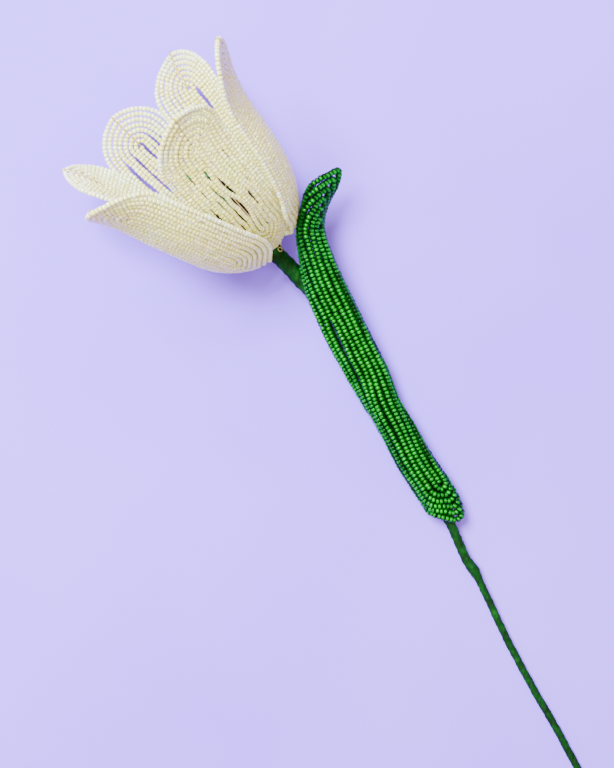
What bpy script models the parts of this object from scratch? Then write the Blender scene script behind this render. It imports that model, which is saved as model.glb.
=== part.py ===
"""A tulip made of glass beads strung on wire, lying on its side on a table.

Six ivory bead petals stand in two rings round a green bead pistil and six
black bead stamens. The petals' wires are bound into a taped neck. One green
bead leaf clasps the stem. The table top is z = 0, the bloom lies towards +Y
and the cut end of the stem towards -Y. Lengths below are in millimetres.
"""
import math

import bmesh
import bpy
import numpy as np

MM = 0.001

# Lay of the whole flower: turn about the vertical, then shift to the middle.
TURN = 31.5
SHIFT = (8.497, -55.140, 0.0)

# Bloom: base point of its axis, rise of the axis, heading of the axis.
BLOOM_BASE = (-10.1, 47.1, 21.2)
BLOOM_RISE = 25.1
BLOOM_HEADING = 137.1

# Sag of the bloom's foot: how far it leaves the axis sideways and downwards,
# and the height on the axis by which the sag has run out.
SAG_SIDE = 1.3
SAG_DOWN = 10.0
SAG_HEIGHT = 40.0

# Cup of the bloom: radius at the foot and wall angle from the axis.
FOOT_RADIUS = 4.0
WALL_FOOT = 62.2
WALL_TOP = 12.4
WALL_FALL = 18.6
WALL_POWER = 1.77
LEVEL_RUN = 6.0

# One petal laid flat: a middle row and seven loops of beads round it.
PETAL_LOOPS = 7
PETAL_PITCH = 1.93
PETAL_HALF = 14.4
PETAL_LENGTH = 80.7
PETAL_SPREAD = -0.07
PETAL_FOOT = 1.5
PETAL_HEAD_ROUND = 1.17
PETAL_HEAD_LONG = 0.92
PETAL_THICK = 1.9
PETAL_VALLEY = 0.9

# Each petal: name, foot azimuth, azimuth, level out of the inner ring,
# length factor, sideways lean, curl, flare, roll, wall angle change, tip curl.
PETALS = (
    ("petal_inner_1", 4.0, -0.8, 0.0, 0.98, 5.1, 0.97, 25.0, -11.2, 2.1, -2.1),
    ("petal_inner_2", 124.0, 133.9, 0.0, 1.00, 6.4, 1.16, 50.6, -6.8, 1.0, 1.1),
    ("petal_inner_3", 244.0, 243.6, 0.0, 1.00, -5.8, 0.88, 40.1, -9.0, -3.0, -4.1),
    ("petal_outer_1", 64.0, 61.8, 2.5, 1.07, -8.4, 1.27, 34.5, -2.0, -3.7, -2.7),
    ("petal_outer_2", 184.0, 192.1, 3.3, 0.96, -2.7, 1.12, 0.3, 8.5, 1.3, -1.5),
    ("petal_outer_3", 304.0, 319.7, 3.5, 0.98, -9.9, 0.97, 33.4, 6.2, 5.1, 3.7),
)

# Free wires of the petals, gathered round the stem wire in the neck.
TAIL_RADIUS = 0.45
TAIL_RING = 1.7

# Stem: middle line from the neck to the cut end, and the tape's radius there.
STEM_LINE = (
    (-11.0, 47.1, 12.2),
    (-8.3, 44.4, 10.9),
    (-5.4, 41.4, 9.7),
    (-2.0, 37.7, 8.6),
    (1.3, 34.4, 7.8),
    (6.6, 26.3, 6.6),
    (15.7, 10.4, 5.4),
    (24.9, -4.9, 5.0),
    (34.1, -20.4, 4.8),
    (43.2, -35.8, 4.7),
    (48.8, -45.1, 4.5),
    (53.2, -52.5, 4.3),
    (57.8, -63.1, 3.8),
    (61.1, -68.1, 3.5),
    (63.3, -72.2, 3.3),
    (66.9, -79.7, 2.9),
    (74.3, -95.3, 2.2),
    (84.7, -114.6, 1.65),
    (95.0, -132.7, 1.45),
    (129.1, -197.4, 1.45),
)
WIRE_RADIUS = 0.9
TAPE_BORE = 1.2
NECK_BORE = 2.5
NECK_BORE_LENGTH = 13.0
TAPE_RADII = (
    (0.0, 3.15),
    (25.0, 3.1),
    (45.0, 1.95),
    (112.0, 1.85),
    (138.0, 1.75),
    (142.0, 1.45),
    (300.0, 1.45),
)
TAPE_START = 1.5
WIRE_SHOWS = 3.0

# Leaf laid flat: a middle row and six loops of beads round it.
LEAF_LOOPS = 6
LEAF_PITCH = 2.2
LEAF_HALF = 14.3
LEAF_FOOT = 1.14
LEAF_HEAD_POWER = 1.75
LEAF_HEAD_REACH = 2.17
LEAF_THICK = 2.1
LEAF_VALLEY = 1.0
LEAF_LINE = (
    (54.5, -51.0, 8.2),
    (52.3, -42.9, 8.4),
    (47.9, -35.6, 8.7),
    (41.8, -26.3, 8.9),
    (36.9, -16.1, 8.9),
    (31.9, -6.1, 9.0),
    (27.6, 5.8, 9.9),
    (21.9, 17.0, 11.7),
    (17.0, 27.0, 13.6),
    (12.0, 36.9, 15.7),
    (7.6, 47.1, 17.8),
    (4.6, 56.3, 19.7),
    (5.6, 65.6, 21.2),
    (12.2, 77.4, 22.9),
)
# Slope of each bead row to the next, from the middle row outwards, at points
# along the leaf: first to the left edge, then to the right edge.
LEAF_SECTIONS = (
    (0.00, (22, 5, -15, -40, -65, -90), (-10, -65, -100, -132, -155, -175)),
    (0.10, (28, 12, -12, -40, -68, -95), (-8, -68, -100, -130, -153, -172)),
    (0.20, (30, 12, -12, -40, -68, -95), (0, -75, -105, -135, -150, -160)),
    (0.34, (22, 10, -8, -35, -62, -88), (-60, -100, -130, -150, -165, -175)),
    (0.45, (12, 6, 2, -4, -14, -40), (-70, -100, -120, -140, -160, -175)),
    (0.60, (5, 3, 0, 0, -3, -12), (-75, -95, -110, -130, -150, -175)),
    (0.68, (12, 8, 2, -5, -22, -45), (-75, -92, -105, -120, -140, -160)),
    (0.79, (35, 25, 0, -40, -62, -80), (-80, -90, -95, -100, -110, -120)),
    (0.88, (50, 45, 0, -75, -85, -90), (-68, -78, -85, -90, -95, -95)),
    (0.93, (50, 44, 5, -60, -80, -90), (-60, -75, -85, -90, -90, -90)),
    (1.00, (40, 34, 0, -30, -60, -80), (-50, -65, -80, -85, -90, -90)),
)

# Middle of the bloom.
PISTIL_PROFILE = (
    (0.0, 46.0),
    (2.2, 45.6),
    (3.9, 44.0),
    (4.4, 42.0),
    (3.9, 40.0),
    (2.9, 38.8),
    (3.4, 37.6),
    (2.9, 36.2),
    (3.4, 34.6),
    (2.9, 33.0),
    (3.4, 31.4),
    (2.9, 29.8),
    (3.4, 28.2),
    (2.9, 26.6),
    (3.4, 25.0),
    (2.9, 23.4),
    (3.4, 21.8),
    (2.9, 20.2),
    (3.4, 18.6),
    (2.9, 17.0),
    (3.4, 15.4),
    (2.4, 13.6),
    (1.3, 12.6),
    (1.2, 4.3),
    (0.0, 4.3),
)
STAMEN_AZIMUTHS = (8, 56, 115, 195, 300, 338)
# Each stamen is a narrow loop: radius, height, half the loop's width, rod radius.
STAMEN_LINE = (
    (2.4, 3.0, 0.3, 0.45),
    (4.8, 8.8, 0.3, 0.45),
    (5.5, 10.2, 0.85, 1.0),
    (7.4, 20.0, 0.9, 1.05),
    (11.4, 40.0, 0.9, 1.0),
    (11.7, 41.2, 0.5, 0.5),
)
COLLAR_BORE = 1.2
COLLAR_RADIUS = 3.2
COLLAR_SPAN = (2.0, 4.0)


def smooth(t):
    t = np.clip(t, 0.0, 1.0)
    return t * t * (3.0 - 2.0 * t)


def unit(v):
    v = np.asarray(v, float)
    return v / np.linalg.norm(v)


def bloom_axes():
    rise = math.radians(BLOOM_RISE)
    heading = math.radians(BLOOM_HEADING)
    flat = math.cos(rise)
    axis = np.array((flat * math.cos(heading), flat * math.sin(heading), math.sin(rise)))
    low = -math.sin(rise)
    top = np.array((low * math.cos(heading), low * math.sin(heading), flat))
    side = np.cross(axis, top)
    if side[0] < 0:
        side = -side
    return axis, top, side


AXIS, TOP, SIDE = bloom_axes()
BASE = np.array(BLOOM_BASE)


def middle(height):
    """Point of the bloom's middle line, which sags towards its foot."""
    height = np.asarray(height, float)[..., None]
    sag = 1.0 - smooth((height + 5.0) / (SAG_HEIGHT + 5.0))
    return BASE + height * AXIS + sag * (SAG_SIDE * SIDE - SAG_DOWN * TOP)


def bloom_point(radius, azimuth, height):
    """Point at a radius, an azimuth in degrees and a height in the bloom."""
    a = math.radians(azimuth)
    return middle(height) + radius * (math.cos(a) * TOP + math.sin(a) * SIDE)


def cup(y, petal):
    """Height, radius and wall angle of a petal's middle row at length y."""
    level, flare, change = petal[3], petal[7], petal[9]
    steps = np.linspace(0.0, 100.0, 201)
    wall = WALL_TOP + change * smooth((steps - 30.0) / 25.0)
    wall = wall + (WALL_FOOT - WALL_TOP) * np.exp(-((steps / WALL_FALL) ** WALL_POWER))
    wall = np.radians(wall + flare * np.clip((steps - 45.0) / 40.0, 0.0, None) ** 2)
    half = 0.5 * (steps[1] - steps[0])
    radius = np.concatenate(([0.0], np.cumsum((np.sin(wall[1:]) + np.sin(wall[:-1])) * half)))
    height = np.concatenate(([0.0], np.cumsum((np.cos(wall[1:]) + np.cos(wall[:-1])) * half)))
    level = level * smooth(steps / LEVEL_RUN)
    radius = FOOT_RADIUS + radius + level * np.cos(wall)
    height = height - level * np.sin(wall)
    return np.interp(y, steps, height), np.interp(y, steps, radius), np.interp(y, steps, wall)


def petal_point(petal, x, y):
    """Middle surface of a petal: x across it and y along it, both laid flat."""
    foot, azimuth, lean, curl, roll, tip = (petal[i] for i in (1, 2, 5, 6, 8, 10))
    x = x * (1.0 + PETAL_SPREAD * np.sin(math.pi * np.clip((y - 4.0) / 72.0, 0.0, 1.0)) ** 2)
    y = y * petal[4]
    height, radius, wall = cup(y, petal)
    turn = np.radians(foot + (azimuth - foot) * smooth(y / 25.0))[..., None]
    out = np.cos(turn) * TOP + np.sin(turn) * SIDE
    across = -np.sin(turn) * TOP + np.cos(turn) * SIDE
    up = smooth((y - 28.0) / 35.0)
    bend = 1.0 / (radius * (1.0 + (curl - 1.0) * up)) + tip * 0.01 * smooth((y - 50.0) / 32.0)
    bend = np.minimum(np.where(np.abs(bend) < 1e-5, 1e-5, bend), 1.0 / 3.0)
    wide = np.sin(x * bend) / bend
    deep = (1.0 - np.cos(x * bend)) / bend
    lift = np.radians(roll) * up
    inward = deep * np.cos(lift) - wide * np.sin(lift)
    along = wide * np.cos(lift) + deep * np.sin(lift)
    along = along + lean * np.clip((y - 22.0) / 60.0, 0.0, None) ** 1.6
    point = middle(height) + (radius - inward)[..., None] * out
    return point + along[..., None] * across


def follow(line, s):
    """Point and direction on a smooth line through control points, at lengths s."""
    line = np.array(line, float)
    first = 2.0 * line[0] - line[1]
    last = 2.0 * line[-1] - line[-2]
    p = np.vstack((first, line, last))
    t = np.linspace(0.0, 1.0, 17)[:-1, None]
    parts = []
    for k in range(len(line) - 1):
        a, b, c, d = p[k], p[k + 1], p[k + 2], p[k + 3]
        curve = 2.0 * b + (c - a) * t + (2.0 * a - 5.0 * b + 4.0 * c - d) * t ** 2
        parts.append(0.5 * (curve + (3.0 * b - a - 3.0 * c + d) * t ** 3))
    parts.append(line[-1:])
    dense = np.vstack(parts)
    run = np.concatenate(([0.0], np.cumsum(np.linalg.norm(np.diff(dense, axis=0), axis=1))))
    s = np.asarray(s, float)
    place = np.stack([np.interp(s, run, dense[:, i]) for i in range(3)], -1)
    ahead = np.stack([np.interp(s + 1.0, run, dense[:, i]) for i in range(3)], -1)
    behind = np.stack([np.interp(s - 1.0, run, dense[:, i]) for i in range(3)], -1)
    way = ahead - behind
    return place, way / np.linalg.norm(way, axis=-1, keepdims=True), run[-1]


LEAF_LENGTH = float(follow(LEAF_LINE, 0.0)[2])
STEM_LENGTH = float(follow(STEM_LINE, 0.0)[2])


def leaf_side(t, u, column):
    """Sideways and upward offset at a flat distance u from the middle row."""
    stations = [row[0] for row in LEAF_SECTIONS]
    sideways = [np.zeros_like(u)]
    upward = [np.zeros_like(u)]
    for k in range(LEAF_LOOPS):
        slopes = [row[column][k] for row in LEAF_SECTIONS]
        slope = np.radians(np.interp(t, stations, slopes))
        width = LEAF_PITCH if k < LEAF_LOOPS - 1 else 3.0 * LEAF_PITCH
        part = np.clip(u - k * LEAF_PITCH, 0.0, width)
        sideways.append(part * np.cos(slope))
        upward.append(part * np.sin(slope))
    return sum(sideways), sum(upward)


def leaf_point(u, y):
    """Middle surface of the leaf: u across it and y along it, both laid flat."""
    place, way, _ = follow(LEAF_LINE, np.clip(y, 0.0, LEAF_LENGTH))
    past = y - np.clip(y, 0.0, LEAF_LENGTH)
    place = place + past[..., None] * way
    right = np.stack((way[..., 1], -way[..., 0], np.zeros_like(y)), -1)
    right = right / np.linalg.norm(right, axis=-1, keepdims=True)
    up = np.cross(right, way)
    t = y / LEAF_LENGTH
    left_across, left_up = leaf_side(t, np.clip(-u, 0.0, None), 1)
    right_across, right_up = leaf_side(t, np.clip(u, 0.0, None), 2)
    across = (right_across - left_across)[..., None]
    return place + across * right + (left_up + right_up)[..., None] * up


def petal_head(t):
    """Side of a petal's head at half width 1: an arc that ends in a blunt point."""
    b = math.acos((PETAL_HEAD_ROUND - 1.0) / PETAL_HEAD_ROUND) * t
    return 1.0 - PETAL_HEAD_ROUND * (1.0 - np.cos(b)), PETAL_HEAD_ROUND * PETAL_HEAD_LONG * np.sin(b)


def leaf_head(t):
    """Side of the leaf's head at half width 1: a slender point."""
    return 1.0 - t ** LEAF_HEAD_POWER, LEAF_HEAD_REACH * t


def loop_outline(h, foot, start, end, head, counts):
    """One flat bead loop at half width h, from its foot round by the right side.

    The foot is a circle of radius h ending in straight sides that meet in a
    point; the head is a function of its own.
    """
    phi = math.asin(1.0 / foot)
    n_foot, n_mid, n_head = counts
    half = n_foot // 2
    f = np.linspace(0.0, 1.0, half + 1)[:-1]
    x = [h * math.cos(phi) * f]
    y = [start - foot * h + h * (foot - math.sin(phi)) * f]
    a = np.linspace(phi, 0.0, n_foot - half + 1)[:-1]
    x.append(h * np.cos(a))
    y.append(start - h * np.sin(a))
    m = np.linspace(0.0, 1.0, n_mid + 1)[:-1]
    x.append(np.full(n_mid, h))
    y.append(start + (end - start) * m)
    head_x, head_y = head(np.linspace(0.0, 1.0, n_head + 1))
    x.append(h * head_x)
    y.append(end + h * head_y)
    x = np.concatenate(x)
    y = np.concatenate(y)
    x[-1] = 0.0
    return np.concatenate((x, -x[-2:0:-1])), np.concatenate((y, y[-2:0:-1]))


def sheet_mesh(place, loops, pitch, half, foot, length, head, counts, thick, valley):
    """Closed bead sheet: a crest on every bead row, a valley between two rows.

    Both faces are lofted between the nested loops with the same diagonals.
    """
    start = foot * half
    end = length - head(1.0)[1] * half
    widths = [0.5 * pitch * k for k in range(2 * loops + 1)] + [half]
    halves = [0.5 * (valley if k % 2 else thick) for k in range(2 * loops + 1)] + [0.0]
    front = []
    back = []
    for h, depth in zip(widths, halves):
        x, y = loop_outline(max(h, 1e-6), foot, start, end, head, counts)
        if h == 0.0:
            x = x * 0.0
        middle = place(x, y)
        e = 0.05
        dx = place(x + e, y) - place(x - e, y)
        dy = place(x, y + e) - place(x, y - e)
        normal = np.cross(dx, dy)
        normal = normal / np.linalg.norm(normal, axis=-1, keepdims=True)
        front.append(middle + depth * normal)
        back.append(middle - depth * normal)
    n = len(front[0])
    rings = len(front)
    verts = np.vstack(front + back)
    faces = []
    for k in range(rings - 1):
        for j in range(n):
            i = (j + 1) % n
            a, b, c, d = k * n + j, k * n + i, (k + 1) * n + i, (k + 1) * n + j
            turn = ((a, d, b), (b, d, c)) if j < n // 2 else ((a, d, c), (a, c, b))
            faces += turn
            faces += [(t[0] + rings * n, t[2] + rings * n, t[1] + rings * n) for t in turn]
    return verts, faces


def settle(points):
    """Press flat what would sink into the table: the spot the flower rests on."""
    points[:, 2] = np.maximum(points[:, 2], 0.0)
    return points


def to_frame(points):
    """Turn and shift from the lie of the flower to the frame of the part, in metres."""
    t = math.radians(TURN)
    p = np.asarray(points, float)
    x = p[:, 0] * math.cos(t) + p[:, 1] * math.sin(t)
    y = -p[:, 0] * math.sin(t) + p[:, 1] * math.cos(t)
    turned = np.stack((x, y, p[:, 2]), -1) - np.array(SHIFT)
    return turned * MM


def clear_scene():
    for thing in list(bpy.data.objects):
        bpy.data.objects.remove(thing, do_unlink=True)


def new_collection(name):
    box = bpy.data.collections.new(name)
    bpy.context.scene.collection.children.link(box)
    return box


def new_object(name, verts, faces, box):
    data = bpy.data.meshes.new(name)
    data.from_pydata([tuple(v) for v in verts], [], faces)
    thing = bpy.data.objects.new(name, data)
    box.objects.link(thing)
    return thing


def weld(thing, distance):
    mesh = bmesh.new()
    mesh.from_mesh(thing.data)
    bmesh.ops.remove_doubles(mesh, verts=mesh.verts, dist=distance)
    bmesh.ops.recalc_face_normals(mesh, faces=mesh.faces)
    mesh.to_mesh(thing.data)
    mesh.free()
    thing.data.update()


def tube(name, points, radii, box, resolution=2):
    """Round wire through points in the part's frame, with closed ends."""
    curve = bpy.data.curves.new(name + "_line", "CURVE")
    curve.dimensions = "3D"
    curve.bevel_depth = MM
    curve.bevel_resolution = resolution
    curve.use_fill_caps = True
    run = curve.splines.new("POLY")
    run.points.add(len(points) - 1)
    for k in range(len(points)):
        run.points[k].co = (points[k][0], points[k][1], points[k][2], 1.0)
        run.points[k].radius = radii[k]
    maker = bpy.data.objects.new(name + "_maker", curve)
    bpy.context.scene.collection.objects.link(maker)
    bpy.context.view_layer.update()
    ready = maker.evaluated_get(bpy.context.evaluated_depsgraph_get())
    data = bpy.data.meshes.new_from_object(ready)
    data.name = name
    bpy.data.objects.remove(maker, do_unlink=True)
    bpy.data.curves.remove(curve)
    thing = bpy.data.objects.new(name, data)
    box.objects.link(thing)
    weld(thing, 1e-6)
    return thing


def as_cutter(thing):
    thing.hide_render = True
    thing.display_type = "WIRE"


def combine(thing, other, operation):
    step = thing.modifiers.new(other.name, "BOOLEAN")
    step.operation = operation
    step.solver = "EXACT"
    step.object = other


def finish(thing, colour, roughness, metallic):
    material = bpy.data.materials.new(thing.name)
    material.use_nodes = True
    shader = material.node_tree.nodes["Principled BSDF"]
    shader.inputs["Base Color"].default_value = (*colour, 1.0)
    shader.inputs["Roughness"].default_value = roughness
    shader.inputs["Metallic"].default_value = metallic
    thing.data.materials.clear()
    thing.data.materials.append(material)


IVORY = (0.86, 0.82, 0.68)
LEAF_GREEN = (0.02, 0.32, 0.06)
PISTIL_GREEN = (0.05, 0.30, 0.07)
BLACK = (0.012, 0.012, 0.014)
TAPE_GREEN = (0.02, 0.09, 0.02)
STEEL = (0.42, 0.41, 0.39)


def neck_point(azimuth, radius, s):
    """Point beside the stem's middle line, on the side of a bloom azimuth."""
    place, way, _ = follow(STEM_LINE, s)
    a = math.radians(azimuth)
    out = math.cos(a) * TOP + math.sin(a) * SIDE
    out = unit(out - np.dot(out, way) * way)
    return place + radius * out


def build_petals(parts, cutters):
    for petal in PETALS:
        name = petal[0]
        verts, faces = sheet_mesh(
            lambda x, y, p=petal: petal_point(p, x, y),
            PETAL_LOOPS,
            PETAL_PITCH,
            PETAL_HALF,
            PETAL_FOOT,
            PETAL_LENGTH,
            petal_head,
            (4, 8, 4),
            PETAL_THICK,
            PETAL_VALLEY,
        )
        thing = new_object(name, to_frame(settle(verts)), faces, parts)
        weld(thing, 2e-6)
        inside = petal_point(petal, np.zeros(2), np.array((3.0, 0.6)))
        foot_height = float(cup(np.array(0.0), petal)[0])
        points = [inside[0], inside[1]]
        points.append(bloom_point(2.9, petal[1], foot_height - 0.9))
        points.append(neck_point(petal[1], TAIL_RING, 0.2))
        points.append(neck_point(petal[1], TAIL_RING, 4.0))
        points.append(neck_point(petal[1], TAIL_RING, 8.0))
        points.append(neck_point(petal[1], TAIL_RING, 12.0))
        tail = tube(name + "_tail", to_frame(points), [TAIL_RADIUS] * len(points), cutters, 1)
        as_cutter(tail)
        combine(thing, tail, "UNION")
        finish(thing, IVORY, 0.25, 0.0)


def build_pistil(parts):
    profile = np.array([(r, 0.0, h) for r, h in PISTIL_PROFILE])
    count = 12
    verts = []
    faces = []
    for k in range(count):
        a = 2.0 * math.pi * k / count
        out = math.cos(a) * TOP + math.sin(a) * SIDE
        verts += [middle(p[2]) + p[0] * out for p in profile]
    rows = len(profile)
    for k in range(count):
        m = (k + 1) % count
        for j in range(rows - 1):
            faces.append((k * rows + j, k * rows + j + 1, m * rows + j + 1, m * rows + j))
    thing = new_object("pistil", to_frame(verts), faces, parts)
    weld(thing, 1e-6)
    finish(thing, PISTIL_GREEN, 0.2, 0.0)


def build_stamens(parts, cutters):
    low, high = COLLAR_SPAN
    ends = to_frame([middle(low), middle(high)])
    collar = tube("stamens", ends, [COLLAR_RADIUS] * 2, parts, 4)
    ends = to_frame([middle(low - 1.0), middle(high + 1.0)])
    bore = tube("collar_bore", ends, [COLLAR_BORE] * 2, cutters, 3)
    as_cutter(bore)
    combine(collar, bore, "DIFFERENCE")
    for k, azimuth in enumerate(STAMEN_AZIMUTHS):
        a = math.radians(azimuth)
        across = -math.sin(a) * TOP + math.cos(a) * SIDE
        for side, word in ((-1.0, "left"), (1.0, "right")):
            points = [bloom_point(r, azimuth, h) + side * w * across for r, h, w, _ in STAMEN_LINE]
            radii = [row[3] for row in STAMEN_LINE]
            rod = tube("stamen_%d_%s" % (k + 1, word), to_frame(points), radii, cutters)
            as_cutter(rod)
            combine(collar, rod, "UNION")
    finish(collar, BLACK, 0.15, 0.0)


def build_stem(parts, cutters):
    tape_end = STEM_LENGTH - WIRE_SHOWS
    marks = [row[0] for row in TAPE_RADII]
    widths = [row[1] for row in TAPE_RADII]
    near = np.array((0.0, TAPE_START, 4.0, 8.0, NECK_BORE_LENGTH, 17.0, 21.0, 25.0))
    far = np.concatenate((np.arange(34.0, tape_end - 4.0, 11.0), marks[3:6]))
    s = np.concatenate((near, np.sort(far), (tape_end, STEM_LENGTH)))
    line = follow(STEM_LINE, s)[0]
    path = np.vstack((middle(4.0), middle(1.5), line))
    wire = tube("stem_wire", to_frame(path), [WIRE_RADIUS] * len(path), parts)
    finish(wire, STEEL, 0.35, 1.0)

    taped = line[1:-1]
    tape = tube("stem_tape", to_frame(taped), np.interp(s[1:-1], marks, widths), parts, 3)
    bore = tube("tape_bore", to_frame(line), [TAPE_BORE] * len(line), cutters)
    as_cutter(bore)
    combine(tape, bore, "DIFFERENCE")
    mouth = tube("neck_bore", to_frame(line[:5]), [NECK_BORE] * 5, cutters, 3)
    as_cutter(mouth)
    combine(tape, mouth, "DIFFERENCE")
    finish(tape, TAPE_GREEN, 0.75, 0.0)


def build_leaf(parts):
    verts, faces = sheet_mesh(
        leaf_point,
        LEAF_LOOPS,
        LEAF_PITCH,
        LEAF_HALF,
        LEAF_FOOT,
        LEAF_LENGTH,
        leaf_head,
        (4, 11, 5),
        LEAF_THICK,
        LEAF_VALLEY,
    )
    thing = new_object("leaf", to_frame(settle(verts)), faces, parts)
    weld(thing, 2e-6)
    finish(thing, LEAF_GREEN, 0.15, 0.0)


clear_scene()
PARTS = new_collection("parts")
CUTTERS = new_collection("cutters")
build_petals(PARTS, CUTTERS)
build_pistil(PARTS)
build_stamens(PARTS, CUTTERS)
build_stem(PARTS, CUTTERS)
build_leaf(PARTS)
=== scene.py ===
"""A tulip of glass seed beads strung on wire, lying on its side on a pale table.

The beads are laid row by row on the same petal and leaf forms as the solid
model's, so every row keeps its place. Lengths are in millimetres until a mesh
is made. The sections follow the flower as it is put together.
"""

import math
from collections import namedtuple
from functools import partial

import bpy
import numpy as np
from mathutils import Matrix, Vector


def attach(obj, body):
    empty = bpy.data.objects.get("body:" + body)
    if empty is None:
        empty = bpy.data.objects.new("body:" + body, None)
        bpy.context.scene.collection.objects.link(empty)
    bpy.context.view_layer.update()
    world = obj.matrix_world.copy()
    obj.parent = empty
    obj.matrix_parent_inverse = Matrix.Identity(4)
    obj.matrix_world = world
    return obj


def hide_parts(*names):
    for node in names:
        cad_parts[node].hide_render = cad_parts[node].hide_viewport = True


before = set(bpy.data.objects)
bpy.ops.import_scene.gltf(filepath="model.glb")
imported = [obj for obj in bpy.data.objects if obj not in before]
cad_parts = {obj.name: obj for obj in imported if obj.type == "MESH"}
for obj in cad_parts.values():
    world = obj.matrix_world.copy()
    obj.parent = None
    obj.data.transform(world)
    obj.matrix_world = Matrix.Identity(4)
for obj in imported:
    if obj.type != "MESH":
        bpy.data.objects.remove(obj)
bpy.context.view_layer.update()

# Petals
# Six petals of ivory pearl seed beads, size 11/0. Each is worked flat as a
# middle row with seven loops of beads round it on thin brass wire, and then
# cupped by hand. Three stand inside and three outside.
MM = 0.001
# Lie of the whole flower: turn about the vertical, then shift to the middle.
LIE_TURN = math.radians(31.5)
LIE_SHIFT = np.array((8.497, -55.140, 0.0))
# Bloom: base point of its axis, and the rise and heading of the axis.
BLOOM_BASE = np.array((-10.1, 47.1, 21.2))
BLOOM_RISE = math.radians(25.1)
BLOOM_HEADING = math.radians(137.1)
# Sag of the bloom's foot off its axis, sideways and downwards, and the two
# heights on the axis between which it runs out.
SAG_SIDE = 1.3
SAG_DOWN = 10.0
SAG_FULL = -5.0
SAG_OVER = 40.0
# Cup of the bloom: radius at the foot, and the wall's angle from the axis.
FOOT_RADIUS = 4.0
WALL_FOOT = 62.2
WALL_TOP = 12.4
WALL_FALL = 18.6
WALL_POWER = 1.77
LEVEL_RUN = 6.0
# Where along a petal each change in its form starts, and over what length.
WALL_CHANGE_SPAN = (30.0, 25.0)
FLARE_SPAN = (45.0, 40.0)
TURN_SPAN = (0.0, 25.0)
CURL_SPAN = (28.0, 35.0)
TIP_CURL_SPAN = (50.0, 32.0)
LEAN_SPAN = (22.0, 60.0)
LEAN_POWER = 1.6
SPREAD_SPAN = (4.0, 72.0)
# Smallest radius that a cross row may curl to, and the least bend it has, so
# that a straight one is worked out as an arc too.
TIGHTEST_CURL = 3.0
LEAST_BEND = 1e-5
# One petal laid flat: a middle row and seven loops of beads round it.
PETAL_LOOPS = 7
PETAL_PITCH = 1.93
PETAL_HALF = 14.4
PETAL_LENGTH = 80.7
PETAL_SPREAD = -0.07
PETAL_FOOT = 1.5
PETAL_HEAD_ROUND = 1.17
PETAL_HEAD_LONG = 0.92
# Half width of a middle row, which is worked out as a loop too.
HAIR = 1e-4
# Beads: radius, length and step along a row, and how far one sits off its row.
IVORY_BEAD = 0.88
IVORY_LONG = 1.42
IVORY_STEP = 1.45
IVORY_SLACK = 0.045
# Bare wire left at the foot and at the head of each loop's row.
IVORY_GAPS = (0.12, 0.02)
# Rows aren't quite straight: two waves in the sheet and one out of it, each
# with its height and its length over 2 pi. The first two fade at a row's ends.
ROW_SWAY = (0.10, 5.3)
ROW_TREMBLE = (0.06, 2.1)
ROW_RIPPLE = (0.10, 3.7)
ROW_ENDS = 6.0

# Foot is the azimuth at the foot and azimuth the one higher up, level how far
# out of the inner ring, lean a sideways slide; the rest shape the cup.
Petal = namedtuple("Petal", "foot azimuth level length lean curl flare roll change tip")
PETALS = {
    "petal_inner_1": Petal(4.0, -0.8, 0.0, 0.98, 5.1, 0.97, 25.0, -11.2, 2.1, -2.1),
    "petal_inner_2": Petal(124.0, 133.9, 0.0, 1.00, 6.4, 1.16, 50.6, -6.8, 1.0, 1.1),
    "petal_inner_3": Petal(244.0, 243.6, 0.0, 1.00, -5.8, 0.88, 40.1, -9.0, -3.0, -4.1),
    "petal_outer_1": Petal(64.0, 61.8, 2.5, 1.07, -8.4, 1.27, 34.5, -2.0, -3.7, -2.7),
    "petal_outer_2": Petal(184.0, 192.1, 3.3, 0.96, -2.7, 1.12, 0.3, 8.5, 1.3, -1.5),
    "petal_outer_3": Petal(304.0, 319.7, 3.5, 0.98, -9.9, 0.97, 33.4, 6.2, 5.1, 3.7),
}

# Places where two rows stand apart: how many rows from the middle (negative
# on the left), start and end along the petal, and width of the slit. A width
# below zero closes a gap.
SLITS = {
    "petal_inner_1": (
        (0.5, 37.0, 52.0, 0.95),
        (-0.5, 30.0, 44.0, 1.30),
        (-0.5, 52.5, 57.5, 0.90),
        (-1.5, 26.0, 54.0, 0.40),
        (-2.5, 38.5, 46.5, 0.30),
        (-3.5, 55.0, 62.0, 0.45),
        (-4.5, 35.5, 42.5, 0.60),
        (-4.5, 54.0, 58.5, 0.40),
        (-5.5, 56.0, 60.5, 0.35),
        (2.5, 30.5, 40.5, 0.80),
        (3.5, 53.0, 66.0, -0.45),
        (5.5, 41.5, 47.5, 0.75),
        (4.5, 39.5, 44.5, 0.70),
    ),
    "petal_outer_2": (
        (-4.5, 48.0, 62.0, 0.50),
        (-3.5, 48.0, 64.0, 1.00),
        (-2.5, 46.0, 67.0, 1.00),
        (-1.5, 46.0, 65.0, 0.90),
        (-0.5, 44.0, 68.0, 1.20),
        (0.5, 46.0, 64.0, 0.60),
        (1.5, 42.0, 62.0, 0.90),
        (2.5, 42.0, 66.0, 1.40),
        (3.5, 42.0, 62.0, 0.70),
        (4.5, 44.0, 67.0, 1.50),
        (5.5, 46.0, 62.0, 0.50),
    ),
    "petal_inner_2": ((-1.5, 52.0, 66.0, 1.80), (-0.5, 54.0, 62.0, 0.70)),
    "petal_outer_3": ((4.5, 46.5, 53.5, 0.80), (5.5, 45.0, 48.0, 0.50)),
}
# Rows over which the shift beside a slit dies away.
SLIT_FADE = 1.6
# Sideways wander of the middle rows, one full wave of it over this stretch.
WANDER = {"petal_inner_1": 1.2}
WANDER_SPAN = (24.0, 44.0)
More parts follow.
